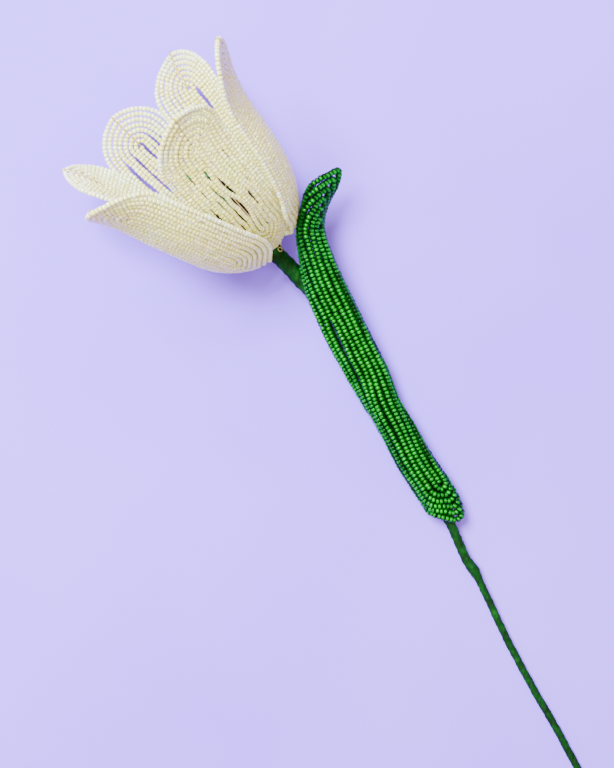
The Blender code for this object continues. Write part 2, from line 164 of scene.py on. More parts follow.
# Tone of a bead, 0 to 1 from yellow to white: a random share; a share towards
# the rim by the cube of the row's number, painted light where the thin rim
# catches it; and more for three petals, painted light where they are lit most.
TONE_RANDOM = 0.55
PAINTED_RIM_LIGHT = 0.40
PAINTED_LIT_PETALS = {"petal_inner_2": 0.24, "petal_inner_3": 0.34, "petal_outer_2": 0.30}


def smooth(t):
    """Ease from 0 to 1 with level ends: 3 t squared less 2 t cubed."""
    t = np.clip(t, 0.0, 1.0)
    return t * t * (3.0 - 2.0 * t)


def unit(v):
    """The same arrows, each of length one."""
    return v / np.linalg.norm(v, axis=-1, keepdims=True)


def through(y, span):
    """How far y has come through a span: 0 at its start and 1 at its end."""
    return (y - span[0]) / span[1]


flat = math.cos(BLOOM_RISE)
low = -math.sin(BLOOM_RISE)
heading = (math.cos(BLOOM_HEADING), math.sin(BLOOM_HEADING))
AXIS = np.array((flat * heading[0], flat * heading[1], -low))
TOP = np.array((low * heading[0], low * heading[1], flat))
SIDE = np.cross(AXIS, TOP)
SIDE = SIDE * np.sign(SIDE[0])


def middle(height):
    """The bloom's middle line: straight up its axis, sagging towards the foot."""
    height = np.asarray(height, float)[..., None]
    sag = 1.0 - smooth(through(height, (SAG_FULL, SAG_OVER - SAG_FULL)))
    return BLOOM_BASE + height * AXIS + sag * (SAG_SIDE * SIDE - SAG_DOWN * TOP)


def outwards(azimuth):
    """Direction away from the bloom's axis at an azimuth in radians."""
    azimuth = np.asarray(azimuth)[..., None]
    return np.cos(azimuth) * TOP + np.sin(azimuth) * SIDE


def bloom_point(radius, azimuth, height):
    """A point at a radius, an azimuth in radians and a height in the bloom."""
    return middle(height) + np.asarray(radius)[..., None] * outwards(azimuth)


def cup(y, petal):
    """Height and radius of a petal's middle row at length y.

    The wall leans out at the foot, straightens by a falling exponential and
    flares again at the tip by a square. Radius and height are the sums of the
    wall angle's sine and cosine.
    """
    steps = np.linspace(0.0, 100.0, 201)
    wall = WALL_TOP + petal.change * smooth(through(steps, WALL_CHANGE_SPAN))
    wall = wall + (WALL_FOOT - WALL_TOP) * np.exp(-((steps / WALL_FALL) ** WALL_POWER))
    wall = wall + petal.flare * np.clip(through(steps, FLARE_SPAN), 0.0, None) ** 2
    wall = np.radians(wall)
    half = 0.5 * (steps[1] - steps[0])
    outward, upward = np.sin(wall), np.cos(wall)
    radius = np.concatenate(([0.0], np.cumsum((outward[1:] + outward[:-1]) * half)))
    height = np.concatenate(([0.0], np.cumsum((upward[1:] + upward[:-1]) * half)))
    level = petal.level * smooth(steps / LEVEL_RUN)
    radius = FOOT_RADIUS + radius + level * upward
    height = height - level * outward
    return np.interp(y, steps, height), np.interp(y, steps, radius)


def petal_point(petal, x, y):
    """Middle surface of a petal, x across it and y along it when laid flat.

    Each cross row is an arc about the bloom's axis with its own curl, turned
    by the roll, slid sideways by the lean and set out at the cup's radius.
    """
    spread = np.sin(math.pi * np.clip(through(y, SPREAD_SPAN), 0.0, 1.0)) ** 2
    x = x * (1.0 + PETAL_SPREAD * spread)
    y = y * petal.length
    height, radius = cup(y, petal)
    turn = petal.foot + (petal.azimuth - petal.foot) * smooth(through(y, TURN_SPAN))
    out = outwards(np.radians(turn))
    across = outwards(np.radians(turn + 90.0))
    up = smooth(through(y, CURL_SPAN))
    bend = 1.0 / (radius * (1.0 + (petal.curl - 1.0) * up))
    bend = bend + petal.tip / 100.0 * smooth(through(y, TIP_CURL_SPAN))
    bend = np.where(np.abs(bend) < LEAST_BEND, LEAST_BEND, bend)
    bend = np.minimum(bend, 1.0 / TIGHTEST_CURL)
    wide = np.sin(x * bend) / bend
    deep = (1.0 - np.cos(x * bend)) / bend
    lift = np.radians(petal.roll) * up
    inward = deep * np.cos(lift) - wide * np.sin(lift)
    along = wide * np.cos(lift) + deep * np.sin(lift)
    along = along + petal.lean * np.clip(through(y, LEAN_SPAN), 0.0, None) ** LEAN_POWER
    point = middle(height) + (radius - inward)[..., None] * out
    return point + along[..., None] * across


def petal_head(t):
    """Side of a petal's head at half width 1: an arc that ends in a blunt point."""
    b = math.acos((PETAL_HEAD_ROUND - 1.0) / PETAL_HEAD_ROUND) * t
    x = 1.0 - PETAL_HEAD_ROUND * (1.0 - np.cos(b))
    return x, PETAL_HEAD_ROUND * PETAL_HEAD_LONG * np.sin(b)


def row_side(h, half, foot, length, head):
    """Right side of one flat bead loop of half width h, from foot to head.

    A straight run out from the pointed foot, an arc of radius h, a straight
    side, and a head with a formula of its own.
    """
    phi = math.asin(1.0 / foot)
    start = foot * half
    end = length - head(1.0)[1] * half
    f = np.linspace(0.0, 1.0, 20, endpoint=False)
    a = np.linspace(phi, 0.0, 20, endpoint=False)
    m = np.linspace(0.0, 1.0, 80, endpoint=False)
    head_x, head_y = head(np.linspace(0.0, 1.0, 41))
    x = [h * math.cos(phi) * f, h * np.cos(a), np.full(80, h), h * head_x]
    y = [start - foot * h + h * (foot - math.sin(phi)) * f, start - h * np.sin(a)]
    y += [start + (end - start) * m, end + h * head_y]
    return np.concatenate(x), np.concatenate(y)


def lengths(points):
    """Length along a line of points, from its start to each of them."""
    steps = np.linalg.norm(np.diff(points, axis=0), axis=1)
    return np.concatenate(([0.0], np.cumsum(steps)))


def at_lengths(points, run, s):
    """Places at lengths s along a line, by proportion between its points."""
    return np.stack([np.interp(s, run, column) for column in points.T], -1)


def spaced(line, step, gaps=(0.0, 0.0)):
    """Places along a line at equal steps, leaving a gap free at either end.

    Gives for each place its point, followed by whatever the line carries in
    further columns, and its direction along the line.
    """
    point = line[:, :3]
    run = lengths(point)
    free = run[-1] - gaps[0] - gaps[1]
    count = max(1, int(round(free / step)))
    at = gaps[0] + (np.arange(count) + 0.5) * free / count
    e = 0.4
    way = unit(at_lengths(point, run, at + e) - at_lengths(point, run, at - e))
    return at_lengths(line, run, at), way


def strung(rows):
    """Places and directions of several rows of beads as one pair."""
    places, ways = zip(*rows)
    return np.vstack(places), np.vstack(ways)


def sheet_normal(surface, x, y):
    """Unit normal of a surface of two parameters: the cross product of its slopes."""
    e = 0.05
    dx = surface(x + e, y) - surface(x - e, y)
    dy = surface(x, y + e) - surface(x, y - e)
    return unit(np.cross(dx, dy))


def part_slits(x, y, row, slits):
    """Shift rows sideways so that they stand apart where a slit is named.

    The rows beside a slit move half its width each way, easing in and out over
    its end quarters, and the shift fades by an exponential of the rows' distance.
    """
    shift = np.zeros_like(x)
    for where, start, end, width in slits:
        t = (y - start) / (end - start)
        swell = smooth(np.clip(t, 0.0, 1.0) * 4.0) * smooth(np.clip(1.0 - t, 0.0, 1.0) * 4.0)
        away = row - where
        fade = np.exp(-(np.abs(away) - 0.5) / SLIT_FADE)
        shift = shift + 0.5 * width * swell * np.sign(away) * fade
    return x + shift


def to_frame(points):
    """Turn and shift from the lie of the flower to the frame, in metres."""
    c, s = math.cos(LIE_TURN), math.sin(LIE_TURN)
    x = points[..., 0] * c + points[..., 1] * s
    y = -points[..., 0] * s + points[..., 1] * c
    return (np.stack((x, y, points[..., 2]), -1) - LIE_SHIFT) * MM


def mesh_piece(name, points, faces, material):
    """A mesh object from whole arrays: points in the lie, faces all of one size."""
    data = bpy.data.meshes.new(name)
    data.vertices.add(len(points))
    data.vertices.foreach_set("co", to_frame(points).astype(np.float32).ravel())
    data.loops.add(faces.size)
    data.loops.foreach_set("vertex_index", faces.astype(np.int32).ravel())
    data.polygons.add(len(faces))
    starts = np.arange(len(faces), dtype=np.int32) * faces.shape[1]
    data.polygons.foreach_set("loop_start", starts)
    data.polygons.foreach_set("use_smooth", np.ones(len(faces), dtype=bool))
    data.materials.append(material)
    data.update(calc_edges=True)
    data.validate()
    thing = bpy.data.objects.new(name, data)
    bpy.context.scene.collection.objects.link(thing)
    return thing


# A bead's barrel: hoops from the rim of the hole round the outside and back,
# with radius and height as shares of the bead's own, and the share of painted
# light each hoop takes: full painted highlight at the belly, none at the hole.
# Then the points on a hoop, and how much beads differ.
BEAD_RADII = np.array((0.40, 0.76, 1.0, 1.0, 0.76, 0.40))
BEAD_HEIGHTS = np.array((-0.84, -1.0, -0.46, 0.46, 1.0, 0.84))
HOOP_LIGHT_SHARE = np.array((0.0, 0.45, 1.0, 1.0, 0.45, 0.0))
BEAD_HOOPS = len(BEAD_RADII)
BEAD_ROUND = 8
BEAD_POINTS = BEAD_HOOPS * BEAD_ROUND
BEAD_TILT = 0.05
BEAD_SPIN = 0.08
BEAD_SWELL = 0.025
BEAD_STRETCH = 0.04


def bead_piece(name, place, way, radius, length, tone, material, rng, up=None):
    """Seed beads as closed rings: hoops of points round each bead's hole.

    The profile is a rounded barrel with a hole, carried round the bead's way;
    size, spin and tilt differ a little from bead to bead. Where up is given,
    each bead also carries a painted-light value: 1, a painted highlight, along
    its belly on the sides that face out of the sheet, falling as the cosine to
    0, painted shade, on its flanks.
    """
    n = len(place)
    way = unit(way + rng.normal(0.0, BEAD_TILT, (n, 3)))
    spin = rng.normal(0.0, 1.0, (n, 3))
    third = unit(np.cross(way, spin if up is None else up + BEAD_SPIN * spin))
    side = np.cross(third, way)
    swell = radius * (1.0 + rng.normal(0.0, BEAD_SWELL, n))
    stretch = 0.5 * length * (1.0 + rng.normal(0.0, BEAD_STRETCH, n))
    a = 2.0 * math.pi * np.arange(BEAD_ROUND) / BEAD_ROUND
    ring = np.cos(a)[:, None] * side[:, None, :] + np.sin(a)[:, None] * third[:, None, :]
    out = (swell[:, None] * BEAD_RADII)[:, :, None, None] * ring[:, None, :, :]
    along = (stretch[:, None] * BEAD_HEIGHTS)[:, :, None, None] * way[:, None, None, :]
    points = (place[:, None, None, :] + out + along).reshape(-1, 3)
    i, j = np.meshgrid(np.arange(BEAD_HOOPS), np.arange(BEAD_ROUND), indexing="ij")
    here, there = i * BEAD_ROUND, (i + 1) % BEAD_HOOPS * BEAD_ROUND
    j2 = (j + 1) % BEAD_ROUND
    bead = np.stack((here + j, here + j2, there + j2, there + j), -1).reshape(-1, 4)
    faces = (bead[None] + BEAD_POINTS * np.arange(n)[:, None, None]).reshape(-1, 4)
    thing = mesh_piece(name, points, faces, material)
    layer = thing.data.attributes.new("tone", "FLOAT", "POINT")
    layer.data.foreach_set("value", np.repeat(np.asarray(tone, np.float32), BEAD_POINTS))
    if up is not None:
        # Painted light: a painted highlight along the belly on the side facing out of the
        # sheet, and painted shade on the flanks.
        painted_light_share = (HOOP_LIGHT_SHARE[:, None] * np.abs(np.cos(a))).astype(np.float32).ravel()
        layer = thing.data.attributes.new("painted_light_share", "FLOAT", "POINT")
        layer.data.foreach_set("value", np.tile(painted_light_share, n))
    return thing


def srgb(text):
    """A hex colour as linear red, green, blue and alpha."""
    part = np.array([int(text[i:i + 2], 16) for i in (1, 3, 5)]) / 255.0
    part = np.where(part <= 0.04045, part / 12.92, ((part + 0.055) / 1.055) ** 2.4)
    return (*part.tolist(), 1.0)


def add_node(tree, kind, settings=None, links=None):
    """Add a node; settings name its properties and sockets, links its inputs."""
    node = tree.nodes.new(kind)
    for key, value in (settings or {}).items():
        if isinstance(key, str) and hasattr(node, key):
            setattr(node, key, value)
        else:
            node.inputs[key].default_value = value
    for key, source in (links or {}).items():
        tree.links.new(source, node.inputs[key])
    return node


def new_material(name):
    """A bare material: its node tree and the surface socket of its output."""
    material = bpy.data.materials.new(name)
    material.use_nodes = True
    material.node_tree.nodes.clear()
    output = material.node_tree.nodes.new("ShaderNodeOutputMaterial")
    return material, material.node_tree, output.inputs["Surface"]


def plain_material(name, settings):
    """A material of one even colour and finish."""
    material, tree, surface = new_material(name)
    shader = add_node(tree, "ShaderNodeBsdfPrincipled", settings)
    tree.links.new(shader.outputs["BSDF"], surface)
    return material


# Size of the patches that are a little warmer or greener, in millimetres.
PEARL_PATCH = 14.3


def pearl_glass():
    """Ceylon pearl seed beads: ivory glass with a pearl coat fired on.

    To the eye: warm white body that lets some light through, single beads a
    little pinker or yellower, and one soft bright spot on each bead.
    """
    material, tree, surface = new_material("ceylon pearl glass")
    # The tone carries a random share and painted light: lighter rims and three lighter
    # petals.
    tone = add_node(tree, "ShaderNodeAttribute", {"attribute_name": "tone"})
    each = add_node(tree, "ShaderNodeValToRGB", None, {"Fac": tone.outputs["Fac"]})
    stops = each.color_ramp.elements
    stops[0].color = srgb("#dccf66")
    stops[1].color = srgb("#f3f6d4")
    for at, colour in ((0.25, "#e5de7e"), (0.50, "#e8dc94"), (0.80, "#ebeab4")):
        stops.new(at).color = srgb(colour)
    place = add_node(tree, "ShaderNodeTexCoord")
    patch = add_node(
        tree,
        "ShaderNodeTexNoise",
        {"Scale": 1.0 / (PEARL_PATCH * MM), "Detail": 2.0},
        {"Vector": place.outputs["Object"]},
    )
    warm = add_node(tree, "ShaderNodeValToRGB", None, {"Fac": patch.outputs["Fac"]})
    stops = warm.color_ramp.elements
    stops[0].position, stops[1].position = 0.35, 0.68
    stops[0].color = srgb("#fffae6")
    stops[1].color = srgb("#f2fbf0")
    stops.new(0.5).color = srgb("#fbfbe0")
    mixed = add_node(
        tree,
        "ShaderNodeMix",
        {"data_type": "RGBA", "blend_type": "MULTIPLY", 0: 1.0},
        {6: each.outputs["Color"], 7: warm.outputs["Color"]},
    )
    shader = add_node(
        tree,
        "ShaderNodeBsdfPrincipled",
        {
            "Roughness": 0.22,
            "IOR": 1.52,
            "Subsurface Weight": 0.75,
            "Subsurface Radius": (0.9, 0.85, 0.5),
            "Subsurface Scale": 1.6 * MM,
            "Coat Weight": 0.9,
            "Coat Roughness": 0.07,
            "Coat IOR": 1.6,
        },
        {"Base Color": mixed.outputs[2]},
    )
    tree.links.new(shader.outputs["BSDF"], surface)
    return material


def wave(y, size, phase):
    """A sine wave along y; size is its height and its length over 2 pi."""
    return size[0] * np.sin(y / size[1] + phase)


def petal_rows(name):
    """Bead places, directions and loop lines of one petal, worked row by row.

    Each row's wander, sway and slits move it across the flat petal, and the
    ripple moves it out of the sheet once it is cupped. A row's number and side
    set the phase of its waves.
    """
    petal = PETALS[name]
    surface = partial(petal_point, petal)
    rng = np.random.default_rng(len(name) * 97 + int(petal.foot))
    rows, lines, rim_light_shares = [], [], []
    for k in range(PETAL_LOOPS + 1):
        h = max(k * PETAL_PITCH, HAIR)
        x, y = row_side(h, PETAL_HALF, PETAL_FOOT, PETAL_LENGTH, petal_head)
        for side in (1.0, -1.0) if k else (1.0,):
            sway = wave(y, ROW_SWAY, 1.7 * k + side) + wave(y, ROW_TREMBLE, 2.9 * k - side)
            sway = sway * smooth(np.minimum(y - y[0], y[-1] - y) / ROW_ENDS)
            drift = np.sin(2.0 * math.pi * (np.clip(through(y, WANDER_SPAN), 0.0, 1.0) - 0.5))
            sway = sway - WANDER.get(name, 0.0) * (1.0 - k / PETAL_LOOPS) * drift
            flat_x = part_slits(side * x + sway, y, side * k, SLITS.get(name, ()))
            ripple = wave(y, ROW_RIPPLE, 2.3 * k + 2.0 * side)
            line = surface(flat_x, y) + ripple[:, None] * sheet_normal(surface, flat_x, y)
            rows.append(spaced(line, IVORY_STEP, IVORY_GAPS if k else (0.0, 0.0)))
            lines.append(line)
            # Painted light: outer rows take a lighter tone, as the rim catches more light.
            rim_light_shares.append(np.full(len(rows[-1][0]), (k / PETAL_LOOPS) ** 3))
    place, way = strung(rows)
    place = place + rng.normal(0.0, IVORY_SLACK, place.shape)
    place[:, 2] = np.maximum(place[:, 2], IVORY_BEAD)
    # Tone: a random share plus painted light at the rims and on the three most lit petals.
    tone = TONE_RANDOM * rng.random(len(place)) + PAINTED_RIM_LIGHT * np.concatenate(rim_light_shares)
    return place, way, tone + PAINTED_LIT_PETALS.get(name, 0.0), lines, rng


ivory = pearl_glass()
petal_lines = {}
for name in PETALS:
    place, way, tone, petal_lines[name], rng = petal_rows(name)
    beads = bead_piece(name + "_beads", place, way, IVORY_BEAD, IVORY_LONG, tone, ivory, rng)
    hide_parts(name)
    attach(beads, "root")

# Petal wires
# Brass-coloured wire, 0.3 mm: it runs through every row, wraps round the bare
# middle wire wherever a loop crosses it, and a finer one laces the rows
# together half way up. The ends are twisted into a tail for the neck.
WIRE = 0.15
MIDDLE_WIRE = 0.18
# The middle wire starts this far from the petal's foot and ends this far past
# its tip. Bare, beyond the middle row, it eases over a short length to lie
# inside the sheet, and each loop wraps round it: radius, turns and pitch.
MIDDLE_ENDS = (0.6, 0.4)
MIDDLE_INSIDE = 0.78
MIDDLE_EASE = 2.0
WRAP = (0.36, 1.8, 0.36)
# Its end folds over the rim through three points, so far outwards and so far
# back, as a share of the petal's last stretch.
FOLD_OUT = np.array((0.5, 1.4, 1.6))
FOLD_BACK = np.array((0.0, 0.15, 0.6))
FOLD_STRETCH = 4.0
# Lacing: its wire, reach to either side, height and run of its arch, height
# over the sheet with the dip between rows, and its place on each petal.
LACE_WIRE = 0.11
LACE_REACH = 13.6
LACE_ARCH = (1.2, 9.0)
LACE_OVER = (0.62, 0.42)
LACES = {
    "petal_inner_1": 47.0,
    "petal_inner_2": 46.0,
    "petal_inner_3": 45.0,
    "petal_outer_1": 45.0,
    "petal_outer_2": 38.0,
    "petal_outer_3": 43.5,
}
# Tail: two lengths on the petal's middle row, a radius and a drop below its
# foot, and lengths down the neck, where the tails stand in a ring.
TAIL_ON_PETAL = (3.0, 0.6)
TAIL_BELOW = (2.9, 0.9)
TAIL_IN_NECK = (0.2, 4.0, 8.0, 12.0)
TAIL_RING = 1.7
# Radius and pitch of its twist, and its wire.
TAIL_TWIST = (0.24, 4.5)
TAIL_WIRE = 0.2
# The loose loop of wire under one petal's foot: place, way, start, and the
# radius, turns and pitch of its coil.
LOOP_PETAL = "petal_outer_1"
LOOP_PLACE = np.array((-9.6, 48.3, 15.4))
LOOP_WAY = np.array((0.3, 0.2, 1.0))
LOOP_START = np.array((1.0, 0.0, -0.3))
LOOP_COIL = (0.8, 0.9, 0.5)
# A direction along which no wire runs, to start a wire's rings from.
OFF_AXIS = (0.31, 0.52, 0.79)


def tube_skin(line, first, second, radius):
    """Rings of points round a line, joined into a tube with a point at each end.

    A ring point stands off the line by cos a of the first direction and sin a
    of the second, times its own radius.
    """
    n, sides = radius.shape
    a = 2.0 * math.pi * np.arange(sides) / sides
    ring = np.cos(a)[:, None] * first[:, None, :] + np.sin(a)[:, None] * second[:, None, :]
    points = (line[:, None, :] + radius[..., None] * ring).reshape(-1, 3)
    points = np.vstack((points, line[:1], line[-1:]))
    i, j = np.meshgrid(np.arange(n - 1), np.arange(sides), indexing="ij")
    here, there, j2 = i * sides, (i + 1) * sides, (j + 1) % sides
    lower = np.stack((here + j, here + j2, there + j2), -1)
    upper = np.stack((here + j, there + j2, there + j), -1)
    k = np.arange(sides)
    k2 = (k + 1) % sides
    last = (n - 1) * sides
    foot = np.stack((k2, k, np.full(sides, n * sides)), -1)
    head = np.stack((last + k, last + k2, np.full(sides, n * sides + 1)), -1)
    tris = np.concatenate((lower, upper)).reshape(-1, 3)
    return points, np.vstack((tris, foot, head))


def round_wire(line, radius, sides=5):
    """A round wire along a line.

    The rings' first direction is carried along from ring to ring, so that the
    wire doesn't twist.
    """
    line = np.asarray(line, float)
    way = unit(np.gradient(line, axis=0))
    firsts = [unit(np.cross(way[0], OFF_AXIS))]
    for forward in way[1:]:
        firsts.append(unit(firsts[-1] - np.dot(firsts[-1], forward) * forward))
    first = np.array(firsts)
    return tube_skin(line, first, np.cross(way, first), np.full((len(line), sides), radius))


def join(parts):
    """Several points-and-faces pairs as one pair."""
    points, faces, base = [], [], 0
    for p, f in parts:
        points.append(p)
        faces.append(f + base)
        base += len(p)
    return np.vstack(points), np.vstack(faces)


def follow(line, s):
    """Point and direction on a smooth line through control points, at lengths s.

    Between two points the line is the cubic whose slope at each point is half
    the step between that point's neighbours.
    """
    line = np.array(line, float)
    p = np.vstack((2.0 * line[0] - line[1], line, 2.0 * line[-1] - line[-2]))
    t = np.linspace(0.0, 1.0, 17)[:-1, None]
    runs = []
    for k in range(len(line) - 1):
        a, b, c, d = p[k], p[k + 1], p[k + 2], p[k + 3]
        curve = 2.0 * b + (c - a) * t + (2.0 * a - 5.0 * b + 4.0 * c - d) * t ** 2
        runs.append(0.5 * (curve + (3.0 * b - a - 3.0 * c + d) * t ** 3))
    runs.append(line[-1:])
    dense = np.vstack(runs)
    run = lengths(dense)
    s = np.asarray(s, float)
    way = unit(at_lengths(dense, run, s + 1.0) - at_lengths(dense, run, s - 1.0))
    return at_lengths(dense, run, s), way, run[-1]


def drawn_brass():
    """Drawn brass-coloured beading wire: pale gold, a little dulled by handling."""
    return plain_material(
        "drawn brass wire",
        {"Base Color": srgb("#d9c172"), "Metallic": 0.6, "Roughness": 0.34},
    )


# Middle line of the stem, from the neck to the cut end.
STEM_LINE = (
    (-11.0, 47.1, 12.2),
    (-8.3, 44.4, 10.9),
    (-5.4, 41.4, 9.7),
    (-2.0, 37.7, 8.6),
    (1.3, 34.4, 7.8),
    (6.6, 26.3, 6.6),
    (15.7, 10.4, 5.4),
    (24.9, -4.9, 5.0),
    (34.1, -20.4, 4.8),
    (43.2, -35.8, 4.7),
    (48.8, -45.1, 4.5),
    (53.2, -52.5, 4.3),
    (57.8, -63.1, 3.8),
    (61.1, -68.1, 3.5),
    (63.3, -72.2, 3.3),
    (66.9, -79.7, 2.9),
    (74.3, -95.3, 2.2),
    (84.7, -114.6, 1.65),
    (95.0, -132.7, 1.45),
    (129.1, -197.4, 1.45),
)


def neck_point(azimuth, radius, s):
    """A point beside the stem's middle line, on the side of a bloom azimuth."""
    place, way, _ = follow(STEM_LINE, s)
    out = outwards(azimuth)
    return place + radius * unit(out - np.dot(out, way) * way)


def wrap(centre, way, out, coil):
    """A coil of wire round a point: a helix about the way, starting at out."""
    radius, turns, pitch = coil
    a = np.linspace(0.0, 2.0 * math.pi * turns, int(10 * turns) + 1)
    third = np.cross(way, out)
    line = centre + radius * (np.cos(a)[:, None] * out + np.sin(a)[:, None] * third)
    line = line + way * (pitch * (a / (2.0 * math.pi) - 0.5 * turns))[:, None]
    return round_wire(line, WIRE)


def twisted_tail(points):
    """Three wires twisted together along a line of points."""
    s = np.linspace(0.0, follow(points, 0.0)[2], 60)
    line, way, _ = follow(points, s)
    first = unit(np.cross(way, OFF_AXIS))
    second = np.cross(way, first)
    spread, pitch = TAIL_TWIST
    strands = []
    for k in range(3):
        a = (2.0 * math.pi * (s / pitch + k / 3.0))[:, None]
        off = spread * (np.cos(a) * first + np.sin(a) * second)
        strands.append(round_wire(line + off, TAIL_WIRE))
    return strands


def petal_wires(name):
    """All wire of one petal: loops, middle wire with its wraps, lacing and tail.

    Beyond the middle row the middle wire eases out of the sheet to the inside,
    and its end folds over the rim. The lacing is an arc across the rows whose
    height over the sheet is a cosine, so that it dips between them.
    """
    petal = PETALS[name]
    surface = partial(petal_point, petal)
    parts = [round_wire(line[::3], WIRE, 4) for line in petal_lines[name]]
    y = np.linspace(MIDDLE_ENDS[0], PETAL_LENGTH + MIDDLE_ENDS[1], 120)
    zero = np.zeros_like(y)
    centre = surface(zero, y)
    normal = sheet_normal(surface, zero, y)
    inward = -np.sign((normal @ outwards(math.radians(petal.azimuth))).mean())
    start = PETAL_FOOT * PETAL_HALF
    end = PETAL_LENGTH - petal_head(1.0)[1] * PETAL_HALF
    bare = smooth((y - end) / MIDDLE_EASE) + smooth((start - y) / MIDDLE_EASE)
    centre = centre + (inward * MIDDLE_INSIDE * bare)[:, None] * normal
    fold = centre[-1] - inward * FOLD_OUT[:, None] * normal[-1]
    back = centre[-1] - surface(np.zeros(1), np.array([PETAL_LENGTH - FOLD_STRETCH]))[0]
    fold = fold - FOLD_BACK[:, None] * back
    centre = np.vstack((centre, fold))
    parts.append(round_wire(centre, MIDDLE_WIRE, 6))
    for k in range(1, PETAL_LOOPS + 1):
        row = row_side(k * PETAL_PITCH, PETAL_HALF, PETAL_FOOT, PETAL_LENGTH, petal_head)[1]
        for at in (row[0], row[-1]):
            here = np.interp(at, y, np.arange(len(y)))
            i = int(np.clip(round(here), 1, len(y) - 2))
            way = unit(centre[i + 1] - centre[i - 1])
            parts.append(wrap(centre[i], way, normal[i], WRAP))
    x = np.linspace(-LACE_REACH, LACE_REACH, 141)
    arch = LACES[name] + LACE_ARCH[0] * (np.cos(x / LACE_ARCH[1]) - 0.5)
    over = LACE_OVER[0] + LACE_OVER[1] * np.cos(2.0 * math.pi * x / PETAL_PITCH)
    line = surface(x, arch) - (inward * over)[:, None] * sheet_normal(surface, x, arch)
    parts.append(round_wire(line, LACE_WIRE, 4))
    below = float(cup(np.array(0.0), petal)[0]) - TAIL_BELOW[1]
    azimuth = math.radians(petal.foot)
    points = [*surface(np.zeros(2), np.array(TAIL_ON_PETAL))]
    points.append(bloom_point(TAIL_BELOW[0], azimuth, below))
    points += [neck_point(azimuth, TAIL_RING, s) for s in TAIL_IN_NECK]
    parts += twisted_tail(points)
    if name == LOOP_PETAL:
        parts.append(wrap(LOOP_PLACE, unit(LOOP_WAY), LOOP_START, LOOP_COIL))
    return join(parts)


brass = drawn_brass()
for name in PETALS:
    points, faces = petal_wires(name)
    wires = mesh_piece(name + "_wires", points, faces, brass)
    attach(wires, "root")

# Pistil
# Six strings of bright green glass beads bound round a wire, with three small
# bead loops on top for the stigma. It stands in the middle of the bloom.
PISTIL_BEAD = 0.98
PISTIL_LONG = 1.4
PISTIL_STEP = 1.5
PISTIL_SPAN = (14.0, 38.5)
PISTIL_RING = 2.25
# Stigma loops: height of their middle, and half their width and height.
STIGMA_HEIGHT = 42.2
STIGMA_LOOP = (1.9, 2.6)
# Core wire: radius, and its foot and head on the bloom's axis.
PISTIL_WIRE = 1.1
PISTIL_WIRE_SPAN = (4.3, 45.0)


def green_glass():
    """Silver-lined green glass: a lit green body with dark edges and sharp shine."""
    material, tree, surface = new_material("green lined glass")
    tone = add_node(tree, "ShaderNodeAttribute", {"attribute_name": "tone"})
    each = add_node(tree, "ShaderNodeValToRGB", None, {"Fac": tone.outputs["Fac"]})
    each.color_ramp.elements[0].color = srgb("#055519")
    each.color_ramp.elements[1].color = srgb("#0e8a30")
    shader = add_node(
        tree,
        "ShaderNodeBsdfPrincipled",
        {"Roughness": 0.12, "IOR": 1.52, "Coat Weight": 0.8, "Coat Roughness": 0.04},
        {"Base Color": each.outputs["Color"]},
    )
    tree.links.new(shader.outputs["BSDF"], surface)
    return material


def pistil_beads():
    """Bead places of the pistil: six upright strings and three upright rings."""
    h = np.linspace(*PISTIL_SPAN, 60)
    lines = [bloom_point(PISTIL_RING, math.pi * k / 3.0, h) for k in range(6)]
    a = np.linspace(0.0, 2.0 * math.pi, 60)
    lobe = STIGMA_LOOP[0] * (1.0 + np.cos(a))
    height = STIGMA_HEIGHT + STIGMA_LOOP[1] * np.sin(a)
    lines += [bloom_point(lobe, math.pi * k / 1.5, height) for k in range(3)]
    return strung([spaced(line, PISTIL_STEP) for line in lines])


rng = np.random.default_rng(11)
green = green_glass()
place, way = pistil_beads()
tone = rng.random(len(place))
pistil = bead_piece("pistil_beads", place, way, PISTIL_BEAD, PISTIL_LONG, tone, green, rng)
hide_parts("pistil")
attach(pistil, "root")
points, faces = round_wire(middle(np.linspace(*PISTIL_WIRE_SPAN, 40)), PISTIL_WIRE, 8)
pistil_core = mesh_piece("pistil_wire", points, faces, brass)
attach(pistil_core, "root")

# Stamens
# Six narrow loops of black glass beads, each on its own wire, stand round the
# pistil. A bound collar holds their wires together above the neck.
STAMEN_AZIMUTHS = (8, 56, 115, 195, 300, 338)
# Radius, height and half the loop's width along one stamen.
STAMEN_LINE = (
    (2.4, 3.0, 0.3),
    (4.8, 8.8, 0.3),
    (5.5, 10.2, 1.0),
    (7.4, 20.0, 1.05),
    (11.4, 40.0, 1.0),
    (11.7, 41.2, 0.5),
)
STAMEN_WIRE = 0.3
STAMEN_BEAD = 1.05
STAMEN_LONG = 1.38
STAMEN_STEP = 1.45
STAMEN_GAPS = (0.0, 0.2)
# A stamen's line is worked out in steps; how many of them have no beads at the
# foot, and by how many the upper stamen is shorter than the others.
LINE_STEP = 0.5
BARE_STEPS = 14
SHORT_STEPS = 9
# Collar: its first and last turn on the bloom's axis, radius and wire.
COLLAR_SPAN = (2.2, 3.9)
COLLAR_TURNS = 5
COLLAR_RADIUS = 2.95
COLLAR_WIRE = 0.24


def black_glass():
    """Jet black glass beads: deep black with a sharp fire-polished shine."""
    return plain_material(
        "jet black glass",
        {"Base Color": srgb("#08080a"), "Roughness": 0.18, "IOR": 1.45, "Coat Weight": 0.1},
    )


def stamen_line(azimuth, side):
    """Middle line of one side of a stamen's loop, in equal small steps."""
    turn = math.radians(azimuth)
    out, height, half = np.array(STAMEN_LINE).T
    across = side * outwards(turn + 0.5 * math.pi)
    points = bloom_point(out, turn, height) + half[:, None] * across
    return follow(points, np.arange(0.0, follow(points, 0.0)[2], LINE_STEP))[0]


